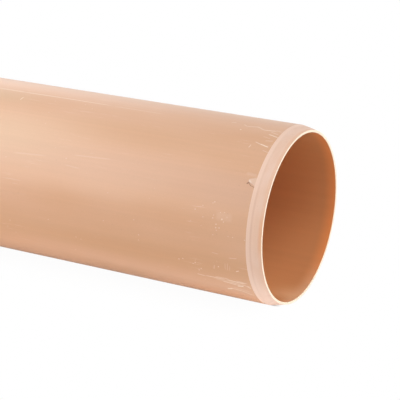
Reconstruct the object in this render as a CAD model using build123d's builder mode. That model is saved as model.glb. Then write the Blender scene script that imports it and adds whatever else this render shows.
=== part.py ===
# Plain-ended uPVC underground drainage pipe, 110 mm outside, in a 3 m stock length.
# It lies on the ground plane with its axis along X. The origin is below its middle, on the ground.
from build123d import *
import os

# Driving dimensions, in millimetres
outer_diameter = 110.0
wall_thickness = 3.5
pipe_length = 3000.0
spigot_chamfer_length = 9.0
spigot_tip_thickness = 1.5
bore_edge_break = 0.3

# Sizes that follow from them
outer_radius = outer_diameter / 2
bore_radius = outer_radius - wall_thickness
spigot_chamfer_depth = wall_thickness - spigot_tip_thickness
axis_height = outer_radius

# The extruded wall: one ring section, drawn out along X over the whole stock length
section_plane = Plane(
    origin=(-pipe_length / 2, 0, axis_height), x_dir=(0, 1, 0), z_dir=(1, 0, 0)
)

with BuildPart() as pipe:
    with BuildSketch(section_plane) as wall_section:
        Circle(outer_radius)
        Circle(bore_radius, mode=Mode.SUBTRACT)
    extrude(amount=pipe_length)

    # Both ends are cut square, then turned to a long shallow taper outside, which leads into a
    # rubber ring seal. The taper stops short of the bore and leaves a flat land at the tip.
    for pipe_end in (0, -1):
        end_face = pipe.faces().filter_by(Axis.X).sort_by(Axis.X)[pipe_end]
        outer_rim = end_face.edges().sort_by(SortBy.RADIUS)[-1]
        chamfer(
            outer_rim,
            length=spigot_chamfer_depth,
            length2=spigot_chamfer_length,
            reference=end_face,
        )

    # The saw burr is taken off the bore's edge at both ends
    for pipe_end in (0, -1):
        end_face = pipe.faces().filter_by(Axis.X).sort_by(Axis.X)[pipe_end]
        bore_rim = end_face.edges().sort_by(SortBy.RADIUS)[0]
        chamfer(bore_rim, length=bore_edge_break)

pipe.part.label = "pipe"

os.makedirs("parts", exist_ok=True)
export_step(pipe.part, "parts/pipe.step")
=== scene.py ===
# Looks of a uPVC drainage pipe: a straight plain-ended length, lying on a pale studio floor.
# The pipe's axis is along X, and the camera looks into the end at +X, the near end.
import math

import bpy
import numpy as np
from mathutils import Matrix, Vector


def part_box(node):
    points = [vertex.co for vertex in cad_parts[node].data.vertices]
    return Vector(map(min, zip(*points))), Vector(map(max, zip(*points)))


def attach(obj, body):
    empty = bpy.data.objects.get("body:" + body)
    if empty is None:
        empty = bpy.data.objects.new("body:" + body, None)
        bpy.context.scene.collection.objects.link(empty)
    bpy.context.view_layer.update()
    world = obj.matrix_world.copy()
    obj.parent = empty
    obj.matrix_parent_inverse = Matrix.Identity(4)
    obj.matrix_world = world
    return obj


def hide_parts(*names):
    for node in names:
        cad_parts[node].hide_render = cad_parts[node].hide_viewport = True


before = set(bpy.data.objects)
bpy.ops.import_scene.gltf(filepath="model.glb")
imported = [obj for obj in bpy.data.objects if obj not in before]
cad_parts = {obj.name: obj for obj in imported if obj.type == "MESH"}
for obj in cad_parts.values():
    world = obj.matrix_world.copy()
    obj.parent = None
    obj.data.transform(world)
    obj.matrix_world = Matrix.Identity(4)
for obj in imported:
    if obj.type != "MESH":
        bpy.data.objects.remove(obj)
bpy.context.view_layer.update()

MM = 0.001
DEGREE = math.pi / 180

# The pipe's place comes from the frame. Its section is repeated here, in metres.
low_corner, high_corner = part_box("pipe")
near_end_x = high_corner.x
far_end_x = low_corner.x
half_pipe = (near_end_x - far_end_x) / 2
axis_height = (low_corner.z + high_corner.z) / 2
outer_radius = 55.0 * MM
wall_thickness = 3.5 * MM
chamfer_length = 9.0 * MM
tip_thickness = 1.5 * MM
bore_edge_break = 0.3 * MM
bore_radius = outer_radius - wall_thickness
tip_radius = bore_radius + tip_thickness
# The bore's broken edge is rounded: at half its width it has this share of its height
bore_edge_bulge = 0.4

# The chamfer is turned in two passes, with a fine groove between them. The second pass starts a
# little deeper than the first ends, and runs to the tip's rounded edge.
first_pass_length = 2.3 * MM
first_pass_drop = 0.55 * MM
groove_width = 0.5 * MM
groove_depth = 0.04 * MM
second_pass_drop = groove_depth / 4
edge_rounding = 0.12 * MM
tip_rounding = 1.5 * edge_rounding
first_pass_end = chamfer_length - first_pass_length
groove_middle = first_pass_end - groove_width / 2

# The torn burr on the chamfer's edge points away from the end. Angles round the pipe are in
# degrees: they start at the top and grow towards the camera's side.
burr_length = 4.4 * MM
burr_root_angles = (47.8, 54.2)
burr_tip_angles = (50.1, 51.9)
burr_lift = 0.45 * MM
burr_edge_width = 0.25 * MM
# The rest is in shares of the burr: how much of its lift the root has, where it rises from the
# skin along and across it, and where its torn colour comes in
burr_root_share = 0.2
burr_root_fade = (-0.1, 0)
burr_rise = (0, 0.8)
torn_across = (0, 0.3)
torn_towards_tip = (0.35, 0.6)
torn_root_share = 0.45

# Unevenness of the extruded wall. Each wave has its count round the pipe and its turn along it,
# in radians a metre.
ovality = 0.10 * MM
ripple = 0.02 * MM
ripple_waves = ((3, 2.1), (5, -1.3))

# Where the mesh has its rings: on the chamfer's two passes, as shares of each, round the tip's
# edge, in degrees, and on the land, as shares of it
first_pass_rings = (0, 0.06, 0.2, 0.4, 0.6, 0.8, 0.94, 1)
second_pass_rings = (0, 0.03, 0.1, 0.2, 0.35, 0.5, 0.65, 0.8, 0.9, 0.97, 1)
tip_edge_rings = (30, 60, 90)
land_rings = (0.1, 0.5, 0.9, 1)
# The rings on the plain wall: the gap after the end's own rings, the first step, how much each
# step grows, and the largest step
skin_rings = (0.2 * MM, 0.3 * MM, 1.05, 40 * MM)
bore_rings = (0.4 * MM, 1.0 * MM, 1.2, 60 * MM)
# Steps round the pipe, in degrees, with the fine ones at the burr
plain_angle_step = 2.0
fine_angle_step = 0.125
fine_angles = (47.5, 56.5)

# A stretch of the section below this radius belongs to the bore
bore_limit = bore_radius + 0.05 * MM
# The baked texture shows most detail at the near end, within about this reach, and a share of
# that at the far end and in the bore
fine_reach = 15 * MM
far_end_detail = 0.25
bore_detail = 0.5


def smooth_step(value, low, high):
    """0 up to low, 1 from high on, and an S curve between them."""
    share = np.clip((value - low) / (high - low), 0, 1)
    return share * share * (3 - 2 * share)


def between(share, first, last):
    return first + share * (last - first)


def spread(start, stop, first_step, growth, largest_step):
    """Distances from start to stop, in steps that grow from first_step to largest_step."""
    places = [start]
    step = first_step
    while places[-1] < stop:
        places.append(places[-1] + step)
        step = min(step * growth, largest_step)
    stretch = (stop - start) / (places[-1] - start)
    return [start + (place - start) * stretch for place in places]


def end_profile():
    """(distance behind the end, radius) round one end, from the chamfer's start to the bore."""
    first_pass_radius = outer_radius - first_pass_drop
    cone_start = first_pass_end - groove_width
    cone_radius = first_pass_radius - second_pass_drop
    land_radius = tip_radius - edge_rounding
    points = [(chamfer_length + edge_rounding, outer_radius)]
    for share in first_pass_rings:
        behind = between(share, chamfer_length, first_pass_end)
        points.append((behind, outer_radius - share * first_pass_drop))
    points.append((groove_middle, first_pass_radius - groove_depth))
    for share in second_pass_rings:
        behind = between(share, cone_start, tip_rounding)
        points.append((behind, between(share, cone_radius, tip_radius)))
    for turn in tip_edge_rings:
        behind = tip_rounding * (1 - math.sin(turn * DEGREE))
        points.append((behind, land_radius + edge_rounding * math.cos(turn * DEGREE)))
    for share in land_rings:
        points.append((0, between(share, land_radius, bore_radius + bore_edge_break)))
    points.append((bore_edge_break / 2, bore_radius + bore_edge_bulge * bore_edge_break))
    points.append((bore_edge_break, bore_radius))
    return points


def plain_wall(last_ring, rings, radius):
    """(distance behind the end, radius) from an end's last ring to the middle of the pipe."""
    gap, *steps = rings
    return [(behind, radius) for behind in spread(last_ring + gap, half_pipe, *steps)]


def lengthwise_section():
    """(x, radius) once round the wall, from the middle of the pipe.

    It runs along the skin to the near end, back through the bore and round the far end.
    """
    end = end_profile()
    skin = plain_wall(end[0][0], skin_rings, outer_radius)
    bore = plain_wall(end[-1][0], bore_rings, bore_radius)
    near = skin[-2::-1] + end + bore
    far = bore[-2::-1] + end[::-1] + skin[:-1]
    near = [(near_end_x - behind, radius) for behind, radius in near]
    far = [(far_end_x + behind, radius) for behind, radius in far]
    return near + far


def stretches(section):
    """Each point of the closed section with the next one."""
    return zip(section, section[1:] + section[:1])


def angles_round():
    """Angles in degrees from the top, closer together at the burr."""
    first, last = fine_angles
    plain = np.arange(last, first + 360, plain_angle_step)
    fine = np.arange(first, last, fine_angle_step) + 360
    return np.concatenate([plain, fine])


def burr(behind, angle):
    """(radial lift, share of torn colour) of the burr at places on the outside of the pipe."""
    along = (behind - chamfer_length) / burr_length
    shown = np.clip(along, 0, 1)
    upper = between(shown, burr_root_angles[0], burr_tip_angles[0])
    lower = between(shown, burr_root_angles[1], burr_tip_angles[1])
    across = np.clip((angle - upper) / (lower - upper), 0, 1)
    past_lower = (angle - lower) * DEGREE * outer_radius
    past_tip = (along - 1) * burr_length
    edge = burr_edge_width / 2
    inside = (1 - smooth_step(past_lower, -edge, edge)) * (1 - smooth_step(past_tip, -edge, edge))
    inside = inside * (angle > upper) * smooth_step(along, *burr_root_fade)
    lift = burr_lift * between(shown, burr_root_share, 1) * smooth_step(across, *burr_rise) * inside
    towards_tip = smooth_step(shown * across, *torn_towards_tip)
    torn = inside * smooth_step(across, *torn_across) * between(towards_tip, torn_root_share, 1)
    return lift, torn


def material_worn(x, radius):
    """Which of the pipe's materials a stretch of the section wears, by the place of its middle."""
    behind = min(near_end_x - x, x - far_end_x)
    if radius < bore_limit:
        return "bore"
    if behind < edge_rounding or radius < tip_radius - edge_rounding:
        return "cut"
    if behind < chamfer_length:
        return "machined"
    return "skin"


def wall_places(section, angles):
    """The mesh's places, a row for each point of the section, and how torn each place is."""
    x, radius = (np.array(values)[:, None] for values in zip(*section))
    outside = radius > tip_radius - edge_rounding
    lift, torn = burr(near_end_x - x, np.mod(angles, 360)[None, :])
    turn = (angles * DEGREE)[None, :]
    (sine_count, sine_turn), (cosine_count, cosine_turn) = ripple_waves
    waves = ripple * np.sin(sine_count * turn + sine_turn * x)
    waves = waves * np.cos(cosine_count * turn + cosine_turn * x)
    uneven = -ovality / 2 * np.cos(2 * turn) + waves
    reach = radius + lift * outside + uneven
    y = -reach * np.sin(turn)
    z = axis_height + reach * np.cos(turn)
    return np.stack([np.broadcast_to(x, reach.shape), y, z], axis=-1), torn * outside


def wall_faces(rows, columns):
    """The faces between the rows and columns of places, closed both ways."""
    row, column = np.meshgrid(np.arange(rows), np.arange(columns), indexing="ij")
    next_row, next_column = (row + 1) % rows, (column + 1) % columns
    corners = ((row, column), (row, next_column), (next_row, next_column), (next_row, column))
    return np.stack([r * columns + c for r, c in corners], axis=-1).reshape(-1, 4)


def texture_places(section):
    """Where each point of the section lies on the baked texture, from 0 to 1."""
    total = [0.0]
    for (x, radius), (next_x, next_radius) in stretches(section):
        middle = (x + next_x) / 2
        detail = 1 / (near_end_x - middle + fine_reach)
        detail += far_end_detail / (middle - far_end_x + fine_reach)
        if min(radius, next_radius) < bore_limit:
            detail *= bore_detail
        total.append(total[-1] + detail * math.hypot(next_x - x, next_radius - radius))
    return np.array(total) / total[-1]


def texture_corners(along, around):
    """Where the four corners of each face lie on the baked texture."""
    rows, columns = len(along) - 1, len(around) - 1
    row, column = np.meshgrid(np.arange(rows), np.arange(columns), indexing="ij")
    corners = ((row, column), (row, column + 1), (row + 1, column + 1), (row + 1, column))
    return np.stack([np.stack([along[r], around[c]], -1) for r, c in corners], axis=2)


def pipe_object(materials):
    """The whole pipe as one closed mesh, turned from its lengthwise section."""
    section = lengthwise_section()
    angles = angles_round()
    places, torn = wall_places(section, angles)
    faces = wall_faces(len(section), len(angles))
    mesh = bpy.data.meshes.new("upvc_pipe")
    mesh.from_pydata(places.reshape(-1, 3).tolist(), [], faces.tolist())

    for material in materials.values():
        mesh.materials.append(material)
    order = list(materials)
    worn = []
    for (x0, r0), (x1, r1) in stretches(section):
        worn.append(order.index(material_worn((x0 + x1) / 2, (r0 + r1) / 2)))
    worn = np.repeat(worn, len(angles)).astype(np.int32)
    mesh.polygons.foreach_set("material_index", worn)
    mesh.polygons.foreach_set("use_smooth", np.ones(len(faces), bool))
    torn_colour = mesh.attributes.new("torn", "FLOAT", "POINT")
    torn_colour.data.foreach_set("value", torn.astype(np.float32).ravel())

    around = np.append(angles - angles[0], 360.0) / 360
    corners = texture_corners(texture_places(section), around)
    layer = mesh.uv_layers.new(name="OFBake")
    layer.uv.foreach_set("vector", corners.astype(np.float32).ravel())
    mesh.validate()
    pipe = bpy.data.objects.new("upvc_pipe", mesh)
    bpy.context.scene.collection.objects.link(pipe)
    return pipe


def rgb(red, green, blue):
    return (red, green, blue, 1.0)


class Nodes:
    """Short calls that build the node tree of one material, group or world."""

    def __init__(self, tree):
        self.tree = tree
        tree.nodes.clear()

    def add(self, kind, inputs=None, **settings):
        """A new node. Each of its inputs is linked to a socket or gets a plain value."""
        node = self.tree.nodes.new(kind)
        for name, value in settings.items():
            setattr(node, name, value)
        for socket, value in (inputs or {}).items():
            if isinstance(value, bpy.types.NodeSocket):
                self.tree.links.new(value, node.inputs[socket])
            else:
                node.inputs[socket].default_value = value
        return node

    def math(self, operation, *values):
        return self.add("ShaderNodeMath", dict(enumerate(values)), operation=operation).outputs[0]

    def plus(self, first, second):
        return self.math("ADD", first, second)

    def minus(self, first, second):
        return self.math("SUBTRACT", first, second)

    def times(self, first, second):
        return self.math("MULTIPLY", first, second)

    def larger(self, first, second):
        return self.math("MAXIMUM", first, second)

    def absolute(self, value):
        return self.math("ABSOLUTE", value)

    def step(self, value, low, high):
        """0 up to low and 1 from high on, or the other way round where low is above high."""
        inputs = {"Value": value, "From Min": low, "From Max": high}
        node = self.add("ShaderNodeMapRange", inputs, interpolation_type="SMOOTHSTEP")
        return node.outputs["Result"]

    def within(self, value, low, high):
        """value, from 0 to 1, brought between low and high."""
        inputs = {"Value": value, "To Min": low, "To Max": high}
        return self.add("ShaderNodeMapRange", inputs).outputs["Result"]

    def noise(self, vector, scale, detail):
        """Noise with scale waves in each metre of vector."""
        inputs = {"Vector": vector, "Scale": scale, "Detail": detail}
        return self.add("ShaderNodeTexNoise", inputs).outputs["Fac"]

    def pattern(self, place, name):
        """One of the noises of PATTERNS, drawn out along the axes."""
        scale, detail = PATTERNS[name]
        inputs = {0: place, 1: scale}
        scaled = self.add("ShaderNodeVectorMath", inputs, operation="MULTIPLY").outputs[0]
        return self.noise(scaled, 1.0, detail)

    def mix(self, share, first, second):
        inputs = {0: share, 6: first, 7: second}
        return self.add("ShaderNodeMix", inputs, data_type="RGBA").outputs[2]

    def two_tones(self, share, fade, tones):
        """The first tone where share is at the fade's start, and the second at its end."""
        first, second = tones
        return self.mix(self.step(share, *fade), rgb(*first), rgb(*second))

    def shaded(self, colour, share, first, last):
        """colour with its brightness going from first to last as share goes from 0 to 1."""
        inputs = {0: colour, 3: self.within(share, first, last)}
        return self.add("ShaderNodeVectorMath", inputs, operation="SCALE").outputs[0]

    def bump(self, height, distance, normal=None):
        inputs = {"Height": height, "Distance": distance, "Strength": 1.0}
        if normal is not None:
            inputs["Normal"] = normal
        return self.add("ShaderNodeBump", inputs).outputs["Normal"]

    def surface(self, colour, roughness, normal, specular=0.5):
        inputs = {"Base Color": colour, "Roughness": roughness, "Normal": normal}
        inputs["Specular IOR Level"] = specular
        shader = self.add("ShaderNodeBsdfPrincipled", inputs)
        self.add("ShaderNodeOutputMaterial", {"Surface": shader.outputs[0]})


def new_material(name):
    """A material, the calls that build it, and the place on the object."""
    material = bpy.data.materials.new(name)
    material.use_nodes = True
    n = Nodes(material.node_tree)
    return material, n, n.add("ShaderNodeTexCoord").outputs["Object"]


# Noises over the surfaces: the waves a metre along X, Y and Z, then how much detail each has
PATTERNS = {
    "skin clouds": ((6, 20, 20), 3.0),
    "skin lines": ((1.5, 420, 420), 4.0),
    "scuff shapes": ((70, 900, 900), 3.0),
    "scuff patches": ((30, 60, 60), 2.0),
    "chamfer clouds": ((160, 60, 60), 3.0),
    "chamfer rings": ((1500, 9, 9), 3.0),
    "chamfer pits": ((700, 700, 700), 1.0),
    "saw marks": ((40, 260, 900), 3.0),
    "bore clouds": ((8, 30, 30), 3.0),
    "bore lines": ((1.5, 380, 380), 3.0),
}
# The finest noises: their waves a metre, their detail, and how they shade a colour
skin_grain = 1300.0
cut_grain = 1500.0
grain_detail = 2.0
grain_shades = (0.97, 1.03)
# Where each surface goes from the first of its two tones to the second
cloud_fade = (0.35, 0.65)

# Scratches on the skin at the near end: the middle's distance behind the end and round from the
# top, the length and the width, all in mm, then the slope in degrees and how pale it is
SCRATCHES = (
    (200.0, 9.6, 24.0, 1.6, 0.0, 0.35),
    (176.0, 9.4, 34.0, 1.4, 1.0, 0.40),
    (146.0, 9.2, 44.0, 0.9, 0.0, 0.55),
    (106.0, 9.4, 40.0, 0.9, 0.0, 0.25),
    (34.0, 7.2, 4.0, 0.8, -27.0, 0.40),
    (29.0, 7.3, 8.5, 1.2, 14.0, 0.36),
    (23.5, 7.9, 8.5, 1.3, -25.0, 0.36),
    (17.0, 8.9, 9.0, 1.0, 6.0, 0.60),
    (42.5, 5.6, 3.5, 0.9, 22.0, 0.40),
    (12.5, 14.2, 8.0, 1.1, -15.0, 0.65),
    (13.0, 11.3, 6.5, 0.8, -15.0, 0.40),
    (18.0, 23.0, 5.5, 0.8, -17.0, 0.50),
    (13.7, 24.2, 7.0, 1.0, -14.0, 0.85),
    (12.6, 19.6, 5.5, 0.8, 12.0, 0.40),
    (22.0, 26.4, 3.0, 0.8, 82.0, 0.50),
    (11.5, 8.2, 5.0, 0.8, -12.0, 0.30),
    (15.5, 16.8, 6.0, 0.7, -10.0, 0.28),
    (11.0, 28.6, 5.0, 0.7, -12.0, 0.30),
    (187.9, 17.3, 4.0, 0.8, 84.0, 0.70),
    (13.0, 45.4, 8.0, 2.8, -3.0, 0.12),
    (24.0, 72.6, 12.0, 7.0, 0.0, 0.10),
    (162.0, 57.0, 26.0, 1.4, 4.0, 0.10),
    (130.0, 59.9, 12.0, 1.2, -3.0, 0.10),
    (118.0, 52.0, 30.0, 1.2, 3.0, 0.12),
    (42.0, 115.6, 6.0, 0.8, -3.0, 0.55),
    (32.5, 115.4, 15.0, 0.8, 1.0, 0.55),
    (28.0, 114.3, 10.0, 0.7, 3.0, 0.50),
    (19.0, 115.5, 14.0, 0.9, -3.0, 0.75),
    (15.0, 114.8, 8.0, 0.7, -6.0, 0.55),
    (23.5, 118.1, 11.0, 0.9, -8.0, 0.65),
    (16.7, 119.0, 5.0, 1.4, 14.0, 0.90),
    (24.0, 116.7, 22.0, 3.4, -3.0, 0.16),
    (20.0, 117.2, 8.0, 0.8, -5.0, 0.60),
    (13.0, 117.6, 6.0, 0.8, -8.0, 0.55),
    (25.4, 124.8, 5.0, 1.5, 24.0, 0.80),
    (20.7, 124.2, 8.0, 1.0, -7.0, 0.65),
    (14.2, 126.0, 9.0, 1.0, -23.0, 0.60),
    (17.0, 123.0, 12.0, 2.8, -12.0, 0.14),
    (11.0, 118.7, 3.0, 1.1, -30.0, 0.60),
    (15.9, 105.8, 2.6, 0.8, 31.0, 0.60),
    (31.2, 106.2, 3.6, 0.5, 80.0, 0.45),
    (23.6, 104.0, 5.5, 0.4, 86.0, 0.35),
    (22.1, 104.0, 6.5, 0.4, 83.0, 0.35),
    (20.7, 104.7, 4.5, 0.4, 83.0, 0.30),
    (17.7, 96.9, 6.0, 0.6, 8.0, 0.35),
    (29.1, 95.8, 5.0, 0.5, -3.0, 0.30),
)
# The split beside the burr, drawn dark, with the shadow under the burr's lifted edge painted into
# the same dark lines: the same values
CRACKS_AND_SHADOW = (
    (13.6, 50.8, 2.0, 1.1, 48.0, 0.95),
    (12.1, 51.5, 3.2, 0.6, -38.0, 0.90),
    (10.0, 52.5, 3.2, 0.5, -13.0, 0.75),
)
# Each scratch strays from its straight line to both sides by up to this many mm, in this many
# waves a mm. It is at its full strength within these shares of its half length and half width.
scratch_stray = 0.2
stray_waves = 0.35
stray_detail = 3.0
full_length_share = 0.6
full_width_share = 0.3

# Single bright specks, and faint dark smudges: the middle's distance behind the end and round
# from the top, then the size across, in mm
SPECKS = (
    (34.5, 12.9, 1.2),
    (28.2, 105.2, 1.0),
    (43.7, 105.6, 0.9),
    (42.3, 111.4, 0.9),
    (126.8, 105.2, 0.7),
    (123.4, 106.1, 0.6),
    (175.3, 102.5, 0.7),
    (173.7, 112.2, 0.6),
    (80.5, 93.9, 0.7),
    (54.6, 105.6, 0.9),
    (51.8, 104.6, 0.8),
    (25.1, 74.2, 1.2),
    (26.6, 70.5, 0.6),
    (30.6, 72.6, 0.6),
    (23.9, 70.0, 0.6),
    (22.0, 72.4, 0.6),
    (23.9, 75.5, 0.7),
    (28.1, 81.1, 0.6),
    (30.2, 84.2, 0.6),
    (20.4, 83.5, 0.6),
    (17.4, 83.5, 0.6),
    (31.2, 65.0, 0.8),
    (32.2, 65.8, 0.6),
    (37.4, 74.8, 0.6),
)
SMUDGES = (
    (18.1, 28.7, 1.2),
)
speck_strength = 0.65
smudge_strength = 0.14

# Soft patches of slightly different tone on the skin. Some are painted light instead: the pale
# patch on the camera's side and the yellow ones near the top paint the soft lights' sheen, and the
# warm strip low down paints light thrown up from the floor. Each has its colour and its patches:
# the middle and the half length behind the end, the middle and the half width round from the top,
# all in mm, then how strong it is
TONES = {
    "pink": (
        (0.69, 0.412, 0.278),
        (
            (0.0, 3500.0, 55.0, 18.0, 0.50),
            (10.0, 60.0, 60.0, 20.0, 0.30),
        ),
    ),
    # Painted sheen: lighter where the soft lights' reflection lies on the camera's side, far from
    # the end
    "pale": (
        (0.755, 0.445, 0.290),
        (
            (220.0, 95.0, 81.0, 15.0, 0.90),
        ),
    ),
    "tan": (
        (0.628, 0.338, 0.178),
        (
            (0.0, 3500.0, 106.0, 20.0, 0.80),
            (100.0, 110.0, 31.0, 20.0, 0.80),
            (90.0, 90.0, 104.0, 20.0, 0.25),
            (110.0, 70.0, 132.0, 13.0, 0.80),
        ),
    ),
    # Painted light: warmer and brighter low down, where light is thrown up from the floor
    "painted_floor_light": (
        (0.78, 0.400, 0.210),
        (
            (30.0, 70.0, 136.0, 12.0, 0.90),
        ),
    ),
    # Painted sheen: yellower near the top, where the soft lights' sheen lies, far from the end
    "painted_yellow_sheen": (
        (0.68, 0.43, 0.262),
        (
            (195.0, 95.0, 46.0, 26.0, 0.80),
            (210.0, 50.0, 17.0, 13.0, 0.90),
        ),
    ),
}

# Where the skin is scuffed: the reach behind the end, then the middle and the half width of the
# band round from the top, in mm
SCUFFED = (
    (60.0, 75.0, 12.0),
    (75.0, 107.0, 8.0),
)
scuff_shape_fade = (0.60, 0.72)
scuff_patch_fade = (0.50, 0.66)
# Fine dots lie one to a cell, with this many cells a metre. The fade is in shares of a cell.
dot_cells = 420.0
dot_fade = (0.22, 0.08)
# Each pair is the value on the plain skin and on a scuffed band. A dot is there where its random
# number is above the limit.
scuff_strengths = (0.15, 0.45)
pale_dot_limits = (0.975, 0.80)
pale_dot_strengths = (0.3, 0.6)
dark_dot_limits = (0.985, 0.90)
dark_dot_strength = 0.2

# The skin's colours, its shades and its roughness, from the least to the most, and the heights
# of its fine relief
skin_tones = ((0.69, 0.380, 0.217), (0.725, 0.424, 0.266))
pale_mark_tone = (0.95, 0.78, 0.64)
dark_mark_tone = (0.35, 0.2, 0.14)
torn_tone = (0.86, 0.66, 0.54)
# The split's dark, which also paints the shadow under the burr's edge
crack_and_shadow_tone = (0.30, 0.14, 0.08)
skin_line_shades = (0.955, 1.045)
skin_roughness = (0.26, 0.36)
mark_roughness = 0.2
line_height = 0.012 * MM
swell_waves = 90.0
swell_detail = 2.0
swell_height = 0.05 * MM
scuff_height = 0.05 * MM


def places_group():
    """The distance behind the near end and the distance round the skin from the top, in mm."""
    group = bpy.data.node_groups.new("pipe_places", "ShaderNodeTree")
    for name in ("Behind", "Around"):
        group.interface.new_socket(name, in_out="OUTPUT", socket_type="NodeSocketFloat")
    n = Nodes(group)
    place = n.add("ShaderNodeTexCoord").outputs["Object"]
    x, y, z = n.add("ShaderNodeSeparateXYZ", {0: place}).outputs
    behind = n.math("DIVIDE", n.minus(near_end_x, x), MM)
    turn = n.math("ARCTAN2", n.times(y, -1.0), n.minus(z, axis_height))
    around = n.times(turn, outer_radius / MM)
    n.add("NodeGroupOutput", {"Behind": behind, "Around": around})
    return group


def stroke_group():
    """A mask of one straight scratch on the pipe, all in mm, with its slope in radians."""
    group = bpy.data.node_groups.new("stroke", "ShaderNodeTree")
    for name in ("Behind", "Around", "Centre Behind", "Centre Around", "Length", "Width", "Slope"):
        group.interface.new_socket(name, in_out="INPUT", socket_type="NodeSocketFloat")
    group.interface.new_socket("Mask", in_out="OUTPUT", socket_type="NodeSocketFloat")
    n = Nodes(group)
    given = n.add("NodeGroupInput").outputs
    from_end = n.minus(given["Behind"], given["Centre Behind"])
    from_top = n.minus(given["Around"], given["Centre Around"])
    cosine = n.math("COSINE", given["Slope"])
    sine = n.math("SINE", given["Slope"])
    along = n.plus(n.times(from_end, cosine), n.times(from_top, sine))
    across = n.minus(n.times(from_top, cosine), n.times(from_end, sine))
    inputs = {"W": along, "Scale": stray_waves, "Detail": stray_detail}
    stray = n.add("ShaderNodeTexNoise", inputs, noise_dimensions="1D").outputs["Fac"]
    across = n.plus(across, n.within(stray, -scratch_stray, scratch_stray))
    half_length = n.times(given["Length"], 0.5)
    half_width = n.times(given["Width"], 0.5)
    lengthwise = n.step(n.absolute(along), half_length, n.times(half_length, full_length_share))
    crosswise = n.step(n.absolute(across), half_width, n.times(half_width, full_width_share))
    n.add("NodeGroupOutput", {"Mask": n.times(lengthwise, crosswise)})
    return group


def nearest_end(n, places):
    """The distance behind whichever end is nearer, in mm."""
    behind = n.add("ShaderNodeGroup", node_tree=places).outputs["Behind"]
    return n.math("MINIMUM", behind, n.minus(2 * half_pipe / MM, behind))


def strokes(n, behind, around, marks, group):
    """One mask for a list of scratches, each as strong as its last value."""
    mask = 0.0
    for centre_behind, centre_around, length, width, slope, strength in marks:
        inputs = {
            "Behind": behind,
            "Around": around,
            "Centre Behind": centre_behind,
            "Centre Around": centre_around,
            "Length": length,
            "Width": width,
            "Slope": slope * DEGREE,
        }
        stroke = n.add("ShaderNodeGroup", inputs, node_tree=group).outputs["Mask"]
        mask = n.larger(mask, n.times(stroke, strength))
    return mask


def spots(n, behind, around, marks):
    """One mask for a list of small round marks, which fade from half their radius outwards."""
    mask = 0.0
    for centre_behind, centre_around, size in marks:
        from_end = n.minus(behind, centre_behind)
        from_top = n.minus(around, centre_around)
        reach_squared = n.plus(n.times(from_end, from_end), n.times(from_top, from_top))
        radius = size / 2
        mask = n.larger(mask, n.step(reach_squared, radius**2, (radius / 2) ** 2))
    return mask


def patches_mask(n, behind, around, patches):
    """How strongly the patches of one tone show."""
    total = 0.0
    for middle_behind, half_length, middle_around, half_width, strength in patches:
        from_end = n.absolute(n.minus(behind, middle_behind))
        from_top = n.absolute(n.minus(around, middle_around))
        patch = n.times(n.step(from_end, half_length, 0.0), n.step(from_top, half_width, 0.0))
        total = n.plus(total, n.times(patch, strength))
    return total


def scuffed_bands(n, behind, around):
    """1 on the scuffed bands, over a third of their width and half their reach, and fading out."""
    mask = 0.0
    for reach, middle, half_width in SCUFFED:
        beside = n.absolute(n.minus(around, middle))
        band = n.times(n.step(beside, half_width, half_width / 3), n.step(behind, reach, reach / 2))
        mask = n.larger(mask, band)
    return mask


def scuffs_and_dots(n, place, scuffed):
    """Masks of the scuffs, of the pale dots and of the dark dots."""
    shape = n.step(n.pattern(place, "scuff shapes"), *scuff_shape_fade)
    scuffs = n.times(shape, n.step(n.pattern(place, "scuff patches"), *scuff_patch_fade))
    scuffs = n.times(scuffs, n.within(scuffed, *scuff_strengths))
    cells = n.add("ShaderNodeTexVoronoi", {"Vector": place, "Scale": dot_cells}).outputs
    chances = n.add("ShaderNodeSeparateColor", {0: cells["Color"]}).outputs
    dots = n.step(cells["Distance"], *dot_fade)
    is_pale = n.math("GREATER_THAN", chances["Red"], n.within(scuffed, *pale_dot_limits))
    is_dark = n.math("GREATER_THAN", chances["Green"], n.within(scuffed, *dark_dot_limits))
    pale_dots = n.times(n.times(dots, is_pale), n.within(scuffed, *pale_dot_strengths))
    return scuffs, pale_dots, n.times(n.times(dots, is_dark), dark_dot_strength)


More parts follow.
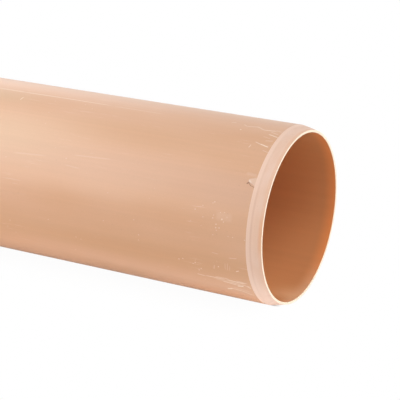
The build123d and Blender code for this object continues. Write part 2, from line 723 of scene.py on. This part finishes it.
def skin_material(places, stroke):
    """The extruded outside: semi-gloss, with fine lines along it, cloudy tone and marks, and
    patches of painted sheen, painted floor light and a painted shadow at the burr.
    """
    material, n, place = new_material("upvc_skin")
    behind, around = n.add("ShaderNodeGroup", node_tree=places).outputs
    clouds = n.pattern(place, "skin clouds")
    lines = n.pattern(place, "skin lines")
    colour = n.two_tones(clouds, cloud_fade, skin_tones)
    # The tone patches, among them painted sheen and painted light from the floor
    for tone, patches in TONES.values():
        colour = n.mix(patches_mask(n, behind, around, patches), colour, rgb(*tone))
    colour = n.shaded(colour, lines, *skin_line_shades)
    colour = n.shaded(colour, n.noise(place, skin_grain, grain_detail), *grain_shades)

    scuffed = scuffed_bands(n, behind, around)
    scuffs, pale_dots, dark_dots = scuffs_and_dots(n, place, scuffed)
    raised = n.larger(scuffs, pale_dots)
    pale = n.larger(raised, strokes(n, behind, around, SCRATCHES, stroke))
    pale = n.larger(pale, n.times(spots(n, behind, around, SPECKS), speck_strength))
    colour = n.mix(pale, colour, rgb(*pale_mark_tone))
    smudges = n.times(spots(n, behind, around, SMUDGES), smudge_strength)
    colour = n.mix(n.larger(smudges, dark_dots), colour, rgb(*dark_mark_tone))
    torn = n.add("ShaderNodeAttribute", attribute_name="torn").outputs["Fac"]
    colour = n.mix(torn, colour, rgb(*torn_tone))
    # The split beside the burr, with painted shadow under the burr's edge
    crack_and_shadow = strokes(n, behind, around, CRACKS_AND_SHADOW, stroke)
    colour = n.mix(crack_and_shadow, colour, rgb(*crack_and_shadow_tone))

    roughness = n.plus(n.within(clouds, *skin_roughness), n.times(pale, mark_roughness))
    normal = n.bump(lines, line_height)
    normal = n.bump(n.noise(place, swell_waves, swell_detail), swell_height, normal)
    normal = n.bump(raised, scuff_height, normal)
    n.surface(colour, roughness, normal)
    return material


# The colours of the chamfer, which the clouds mix, and of the sawn face of the tip
chamfer_tones = ((0.80, 0.54, 0.41), (0.82, 0.58, 0.465))
land_tones = ((0.97, 0.82, 0.64), (0.99, 0.85, 0.67))
# Tints of the chamfer, laid on one after another: the colour, how strong it is, and what it comes
# in by, from the first value to the second. Those values are mm behind the end, mm from the groove,
# mm round from the top, mm from the middle of the camera's side, or the noise of the pits.
CHAMFER_TINTS = {
    "first pass": (
        (0.85, 0.605, 0.48),
        1.0,
        {"behind": (first_pass_end / MM - 0.2, first_pass_end / MM + 0.6)},
    ),
    "tip": ((0.81, 0.50, 0.345), 0.75, {"behind": (2.6, 0.9)}),
    # Painted light: the chamfer's low side paler, where the floor lights it
    "painted lit low side": ((0.97, 0.72, 0.59), 0.7, {"around": (100.0, 135.0)}),
    # Painted shade: the groove's line drawn darker, on the camera's side
    "groove": ((0.64, 0.35, 0.25), 0.28, {"from_groove": (0.9, 0.2), "beside": (36.0, 12.0)}),
    "yellower": ((0.79, 0.51, 0.36), 0.3, {"beside": (38.0, 10.0)}),
    "deeper tip": ((0.80, 0.44, 0.26), 0.7, {"behind": (2.8, 1.2), "beside": (16.0, 6.0)}),
    "pits": ((0.66, 0.42, 0.31), 0.4, {"pits": (0.70, 0.78)}),
}
camera_side_middle = 80.0
ring_shades = (0.965, 1.035)
ring_height = 0.02 * MM
chamfer_grain_height = 0.01 * MM
chamfer_roughness = 0.5
saw_mark_fade = (0.3, 0.7)
saw_mark_height = 0.02 * MM
land_grain_shades = (0.97, 1.0)
land_roughness = 0.6
cut_specular = 0.4

# The bore's colours. Daylight comes through the thin wall of the tip, in another colour low down
# than at the sides. All fades are in mm, behind the end or round from the top to either side, as
# it is measured on the skin.
bore_tones = ((0.71, 0.308, 0.125), (0.725, 0.324, 0.136))
daylight_tones = ((1.0, 0.385, 0.13), (0.90, 0.50, 0.28))
daylight_reach = (9.0, 0.0)
daylight_low_side = (125.0, 165.0)
BORE_TINTS = {
    # Painted light: paler at the bottom by the rim, where light falls in from the front
    "painted lit bottom": ((0.98, 0.57, 0.31), 1.0, {"around": (156.0, 178.0), "behind": (26.0, 2.0)}),
}
# Painted shade round the bore, darker towards the top and low down: where each starts and ends,
# then the brightness before and after
BORE_PAINTED_SHADES = (
    ((110.0, 145.0), (1.04, 0.95)),
    ((30.0, 85.0), (0.88, 1.0)),
)
bore_line_shades = (0.96, 1.04)
bore_roughness = (0.34, 0.44)


def tinted(n, colour, tints, measures):
    """colour under each of the tints, which come in by the measures that they name."""
    for tint, strength, fades in tints.values():
        mask = 1.0
        for name, fade in fades.items():
            mask = n.times(mask, n.step(measures[name], *fade))
        colour = n.mix(n.times(mask, strength), colour, rgb(*tint))
    return colour


def chamfer_material(places):
    """Left by the cutter: matt and pale, with faint rings, a line at the groove, and pits, with
    painted light on its low side and painted shade in the groove.
    """
    material, n, place = new_material("upvc_chamfer")
    behind = nearest_end(n, places)
    around = n.add("ShaderNodeGroup", node_tree=places).outputs["Around"]
    measures = {
        "behind": behind,
        "from_groove": n.absolute(n.minus(behind, groove_middle / MM)),
        "around": around,
        "beside": n.absolute(n.minus(around, camera_side_middle)),
        "pits": n.pattern(place, "chamfer pits"),
    }
    rings = n.pattern(place, "chamfer rings")
    grain = n.noise(place, cut_grain, grain_detail)
    colour = n.two_tones(n.pattern(place, "chamfer clouds"), cloud_fade, chamfer_tones)
    colour = tinted(n, colour, CHAMFER_TINTS, measures)
    colour = n.shaded(colour, rings, *ring_shades)
    colour = n.shaded(colour, grain, *grain_shades)
    normal = n.bump(rings, ring_height)
    normal = n.bump(grain, chamfer_grain_height, normal)
    n.surface(colour, chamfer_roughness, normal, cut_specular)
    return material


def land_material():
    """The sawn face of the tip: nearly white, with fine saw marks across it."""
    material, n, place = new_material("upvc_land")
    marks = n.pattern(place, "saw marks")
    colour = n.two_tones(marks, saw_mark_fade, land_tones)
    colour = n.shaded(colour, n.noise(place, cut_grain, grain_detail), *land_grain_shades)
    n.surface(colour, land_roughness, n.bump(marks, saw_mark_height), cut_specular)
    return material


def bore_material(places):
    """The inside: a deeper tone, smooth, brighter where daylight comes through the thin tip, with
    painted shade round it and painted light at the bottom by the rim.
    """
    material, n, place = new_material("upvc_bore")
    clouds = n.pattern(place, "bore clouds")
    lines = n.pattern(place, "bore lines")
    behind = nearest_end(n, places)
    around = n.absolute(n.add("ShaderNodeGroup", node_tree=places).outputs["Around"])
    colour = n.two_tones(clouds, cloud_fade, bore_tones)
    daylight = n.two_tones(around, daylight_low_side, daylight_tones)
    colour = n.mix(n.step(behind, *daylight_reach), colour, daylight)
    colour = tinted(n, colour, BORE_TINTS, {"around": around, "behind": behind})
    colour = n.shaded(colour, lines, *bore_line_shades)
    # Painted shade round the bore
    for fade, painted_brightness in BORE_PAINTED_SHADES:
        colour = n.shaded(colour, n.step(around, *fade), *painted_brightness)
    n.surface(colour, n.within(clouds, *bore_roughness), n.bump(lines, line_height))
    return material


# The soft lights in the surroundings. Each has the direction that it lies in, its width, its
# length and its brightness, where 1 is a white surface.
SOFT_LIGHTS = {
    "key": ((-0.64, -0.494, 0.589), 0.5, 2.1, 4.5),
    "rim": ((-0.62, 0.693, 0.368), 0.5, 1.0, 1.5),
    "overhead": ((0.50, -0.075, 0.863), 1.0, 1.3, 3.7),
    "front": ((0.90, 0.0, 0.436), 0.9, 1.2, 6.8),
}
# What the plain surroundings add to the light on the object
world_light = 0.0
# Two panels light the pipe further from the near end, one from over it and a low one from the
# camera's side. Each has its place, its width, its length and its brightness.
PANELS = {
    "high_panel": ((near_end_x - 0.50, -0.22, 0.45), 0.25, 1.30, 1.35),
    "low_panel": ((near_end_x - 0.74, -0.58, 0.10), 0.24, 0.18, 2.7),
}
panel_aim = (near_end_x - 0.20, 0.0, axis_height)

# The floor glows faintly for the pipe's underside, but not where the pipe is close over it. To the
# camera it shows white, apart from a dark contact line and a faint soft shadow round it, and in
# reflections it is dimmer next to the pipe. Each pair is a start and an end of a fade, in metres:
# an edge is a distance beside the pipe's axis, and an end or a reach is a distance beyond the
# nearer end, which is negative under the pipe.
floor_size = 60.0
floor_grey = 0.88
floor_glow = 0.30
glow_reach = (0.90, 0.0)
glow_edge = (0.040, 0.014)
glow_end = (0.0, -0.020)
contact_edge = (0.0131, 0.0119)
contact_end = (-0.006, -0.014)
soft_shadow = 0.03
shadow_edge = (0.055, 0.014)
shadow_end = (0.005, -0.040)
gloss_edge = (0.040, 0.160)
gloss_near_pipe = 0.18

# The camera, as a place beside the near end, its aim in degrees and its lens in mm
camera_place = (near_end_x + 0.3519, -0.7684, 0.3727)
camera_heading = 118.70
camera_tilt = -19.98
camera_lens = 135.675
camera_sensor = 36.0


def seen_by(n, *kinds):
    """1 for rays of the named kinds, else 0."""
    path = n.add("ShaderNodeLightPath").outputs
    seen = path[kinds[0]]
    for kind in kinds[1:]:
        seen = n.larger(seen, path[kind])
    return seen


def soft_light(n, direction, towards, width, length, brightness):
    """A light in the surroundings, brightest at its middle and fading out to an oval.

    Its length lies across the pipe's axis. Width and length are shares of the distance to it.
    """
    middle = Vector(towards).normalized()
    along = Vector((1, 0, 0)).cross(middle).normalized()
    inputs = {0: direction, 1: middle}
    offset = n.add("ShaderNodeVectorMath", inputs, operation="SUBTRACT").outputs[0]
    reach_squared = 0.0
    for axis, extent in ((along.cross(middle), width / 2), (along, length / 2), (middle, 1.0)):
        inputs = {0: offset, 1: axis / extent}
        share = n.add("ShaderNodeVectorMath", inputs, operation="DOT_PRODUCT").outputs["Value"]
        reach_squared = n.plus(reach_squared, n.times(share, share))
    return n.times(n.step(n.math("SQRT", reach_squared), 1.0, 0.0), brightness)


def studio_world():
    """White surroundings with a few soft lights in them, which the camera doesn't see."""
    world = bpy.data.worlds.new("studio")
    bpy.context.scene.world = world
    world.use_nodes = True
    n = Nodes(world.node_tree)
    direction = n.add("ShaderNodeTexCoord").outputs["Generated"]
    lights = 0.0
    for light in SOFT_LIGHTS.values():
        lights = n.plus(lights, soft_light(n, direction, *light))
    lights = n.times(lights, n.minus(1.0, seen_by(n, "Is Camera Ray")))
    shows_white = seen_by(n, "Is Camera Ray", "Is Glossy Ray", "Is Transmission Ray")
    strength = n.plus(n.within(shows_white, world_light, 1.0), lights)
    background = n.add("ShaderNodeBackground", {"Color": rgb(1, 1, 1), "Strength": strength})
    n.add("ShaderNodeOutputWorld", {"Surface": background.outputs[0]})


def panel_light(name, place, width, length, brightness):
    """A soft panel with its length across the pipe's axis, which the camera doesn't see."""
    light = bpy.data.lights.new(name, "AREA")
    light.shape = "RECTANGLE"
    light.size = width
    light.size_y = length
    # The power that makes the panel's face as bright as asked
    light.energy = brightness * math.pi * width * length
    holder = bpy.data.objects.new(name, light)
    back = (Vector(place) - Vector(panel_aim)).normalized()
    across = Vector((1, 0, 0)).cross(back).normalized()
    holder.location = place
    holder.rotation_euler = Matrix((across.cross(back), across, back)).transposed().to_euler()
    holder.visible_camera = False
    bpy.context.scene.collection.objects.link(holder)


def studio_floor():
    """A wide pale floor. It shows white, and keeps the shadow where the pipe is close over it."""
    material, n, place = new_material("studio_floor")
    # The floor is met by the rays that leave the pipe, which is quieter than aiming rays at it
    material.cycles.emission_sampling = "NONE"
    x, y = n.add("ShaderNodeSeparateXYZ", {0: place}).outputs[:2]
    beside = n.absolute(y)
    beyond = n.minus(n.absolute(n.minus(x, near_end_x - half_pipe)), half_pipe)

    too_close = n.times(n.step(beside, *glow_edge), n.step(beyond, *glow_end))
    glow = n.times(n.step(beyond, *glow_reach), n.minus(1.0, too_close))
    glow = n.times(n.times(glow, floor_glow), seen_by(n, "Is Diffuse Ray"))
    grey = rgb(floor_grey, floor_grey, floor_grey)
    plain = n.add("ShaderNodeBsdfDiffuse", {"Color": grey}).outputs[0]
    glowing = n.add("ShaderNodeEmission", {"Color": rgb(1, 1, 1), "Strength": glow}).outputs[0]
    lit = n.add("ShaderNodeAddShader", {0: plain, 1: glowing}).outputs[0]
    white = n.add("ShaderNodeEmission", {"Color": rgb(1, 1, 1), "Strength": 1.0}).outputs[0]

    contact = n.times(n.step(beside, *contact_edge), n.step(beyond, *contact_end))
    soft = n.times(n.step(beside, *shadow_edge), n.step(beyond, *shadow_end))
    shadow = n.larger(contact, n.times(soft, soft_shadow))
    to_camera = n.times(n.minus(1.0, shadow), seen_by(n, "Is Camera Ray"))
    reflected = n.within(n.step(beside, *gloss_edge), gloss_near_pipe, 1.0)
    to_gloss = n.times(reflected, seen_by(n, "Is Glossy Ray", "Is Transmission Ray"))
    share = n.larger(to_camera, to_gloss)
    mixed = n.add("ShaderNodeMixShader", {0: share, 1: lit, 2: white}).outputs[0]
    n.add("ShaderNodeOutputMaterial", {"Surface": mixed})

    bpy.ops.mesh.primitive_plane_add(size=floor_size, location=(0, 0, 0))
    floor = bpy.context.object
    floor.name = "studio_floor"
    floor.data.materials.append(material)


def studio_camera():
    camera = bpy.data.cameras.new("camera")
    camera.lens = camera_lens
    camera.sensor_width = camera_sensor
    holder = bpy.data.objects.new("camera", camera)
    holder.location = camera_place
    holder.rotation_euler = ((90 + camera_tilt) * DEGREE, 0, (camera_heading - 90) * DEGREE)
    bpy.context.scene.collection.objects.link(holder)
    bpy.context.scene.camera = holder


places = places_group()
stroke = stroke_group()
materials = {
    "skin": skin_material(places, stroke),
    "machined": chamfer_material(places),
    "cut": land_material(),
    "bore": bore_material(places),
}
pipe = pipe_object(materials)
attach(pipe, "root")
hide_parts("pipe")

studio_world()
for name, panel in PANELS.items():
    panel_light(name, *panel)
studio_floor()
studio_camera()
bpy.context.scene.view_settings.view_transform = "Standard"
